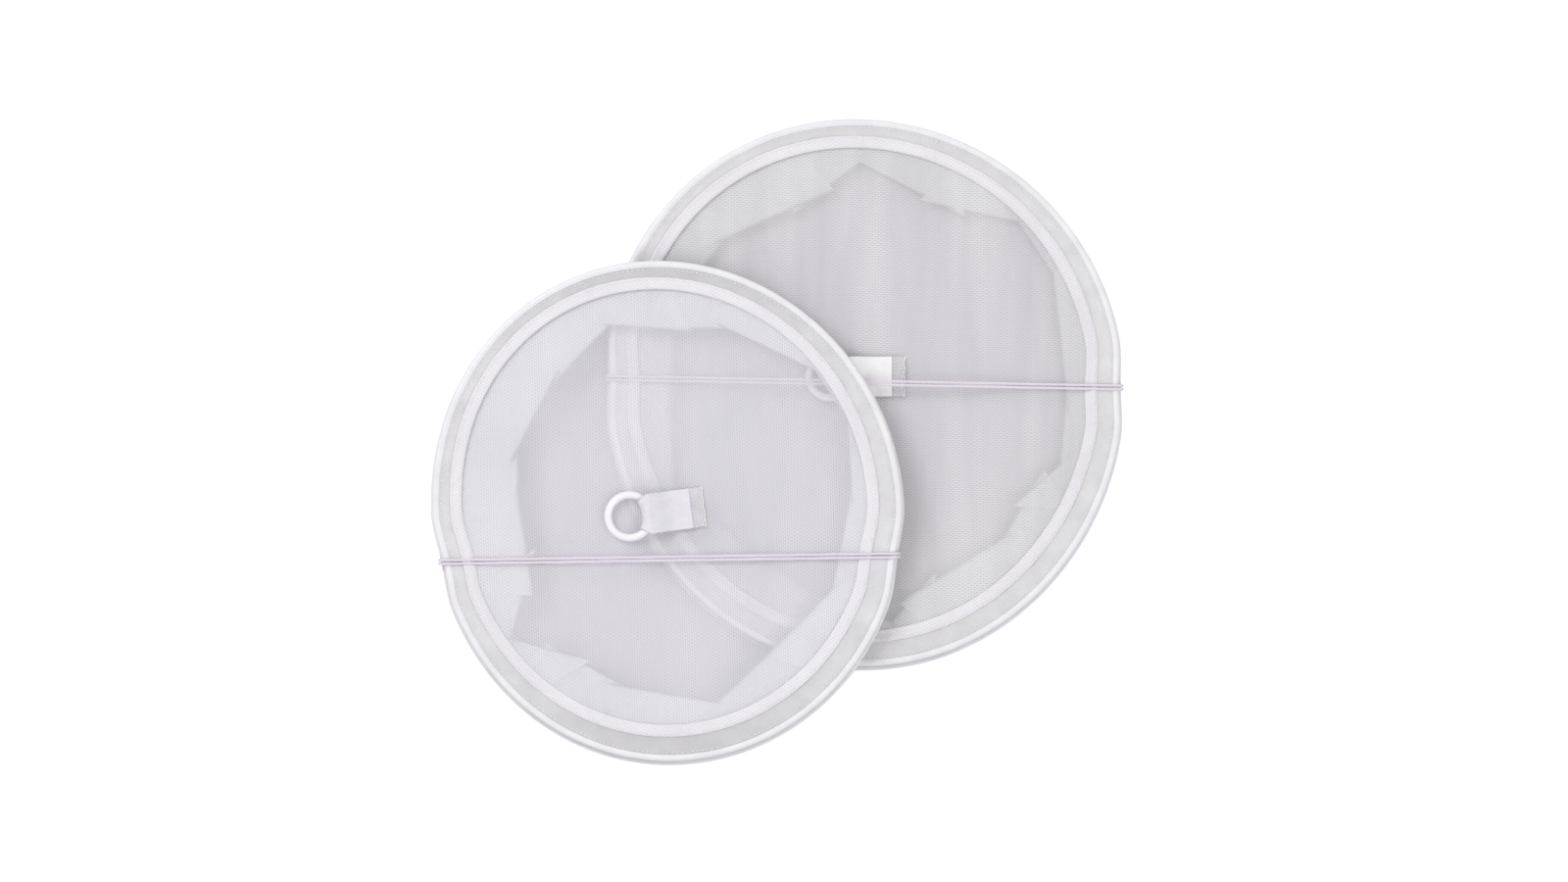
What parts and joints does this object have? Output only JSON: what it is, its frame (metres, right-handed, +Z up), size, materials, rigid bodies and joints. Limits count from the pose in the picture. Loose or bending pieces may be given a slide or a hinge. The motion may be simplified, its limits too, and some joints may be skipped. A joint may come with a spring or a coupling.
{
  "type": "mesh food cover set",
  "caption": "Round pop-up mesh food covers folded flat, one lying on the other, each with wire hoops, a mesh top and side wall, a pull ring on a ribbon tab and an elastic band.",
  "frame": {"origin": "middle of the set's footprint, on the surface that the large cover lies on", "axes": "+X to the right of the picture, towards the large cover, +Y to the top of the picture, +Z up through both folded covers"},
  "size_m": [0.4384, 0.4086, 0.0312],
  "materials": {
    "steel": "drawn spring-steel wire",
    "tape": "white woven nylon binding tape with a soft sheen",
    "mesh": "fine white polyester netting, see-through",
    "ribbon": "thin white satin-edged nylon ribbon",
    "ring_plastic": "glossy white moulded plastic",
    "elastic": "pale mauve covered elastic cord"
  },
  "bodies": {
    "large_base": {"large_base_wire": "steel", "large_base_ferrule": "steel", "large_base_sleeve": "tape", "large_side_wall": "mesh", "large_wall_spring": "steel"},
    "large_top": {"large_top_wire": "steel", "large_top_ferrule": "steel", "large_top_sleeve": "tape", "large_top_net": "mesh", "large_tab_foot": "ribbon"},
    "large_tab": {"large_tab_ribbon": "ribbon"},
    "large_ring": {"large_pull_ring": "ring_plastic"},
    "large_band": {"large_elastic_band": "elastic"},
    "small_base": {"small_base_wire": "steel", "small_base_ferrule": "steel", "small_base_sleeve": "tape", "small_side_wall": "mesh", "small_wall_spring": "steel"},
    "small_top": {"small_top_wire": "steel", "small_top_ferrule": "steel", "small_top_sleeve": "tape", "small_top_net": "mesh", "small_tab_foot": "ribbon"},
    "small_tab": {"small_tab_ribbon": "ribbon"},
    "small_ring": {"small_pull_ring": "ring_plastic"},
    "small_band": {"small_elastic_band": "elastic"}
  },
  "joints": [
    {"name": "large_pop", "type": "slide", "parent": "large_base", "child": "large_top", "axis": [0, 0, 1], "range_m": [0, 0.095], "deforming": ["large_side_wall", "large_wall_spring", "large_elastic_band"]},
    {"name": "large_band_off", "type": "slide", "parent": "large_base", "child": "large_band", "axis": [0, -1, 0], "range_m": [0, 0.2], "deforming": ["large_elastic_band"]},
    {"name": "front_lift_off", "type": "slide", "parent": "large_top", "child": "small_base", "axis": [0, 0, 1], "range_m": [0, 0.2]},
    {"name": "large_tab_swing", "type": "hinge", "parent": "large_top", "child": "large_tab", "pos_m": [0.07249, 0.04153, 0.00453], "axis": [0, 1, 0], "range_deg": [0, 90], "deforming": ["large_elastic_band"]},
    {"name": "large_ring_swing", "type": "hinge", "parent": "large_tab", "child": "large_ring", "pos_m": [0.04679, 0.04153, 0.00683], "axis": [0, 1, 0], "range_deg": [0, 75], "deforming": ["large_elastic_band"]},
    {"name": "small_pop", "type": "slide", "parent": "small_base", "child": "small_top", "axis": [0, 0, 1], "range_m": [0, 0.09], "deforming": ["small_side_wall", "small_wall_spring", "small_elastic_band"]},
    {"name": "small_band_off", "type": "slide", "parent": "small_base", "child": "small_band", "axis": [0, -1, 0], "range_m": [0, 0.145], "deforming": ["small_elastic_band"]},
    {"name": "small_tab_swing", "type": "hinge", "parent": "small_top", "child": "small_tab", "pos_m": [-0.05455, -0.0417, 0.02376], "axis": [-0.1305, 0.9914, 0], "range_deg": [0, 90]},
    {"name": "small_ring_swing", "type": "hinge", "parent": "small_tab", "child": "small_ring", "pos_m": [-0.08003, -0.04506, 0.02606], "axis": [-0.1305, 0.9914, 0], "range_deg": [0, 75]}
  ],
  "couplings": [
    {"joint": "large_band_off", "follows": "large_pop", "ratio": 2.1},
    {"joint": "large_tab_swing", "follows": "front_lift_off", "rad_per_m": 7.85},
    {"joint": "large_ring_swing", "follows": "front_lift_off", "rad_per_m": 6.5},
    {"joint": "small_band_off", "follows": "small_pop", "ratio": 1.6}
  ]
}
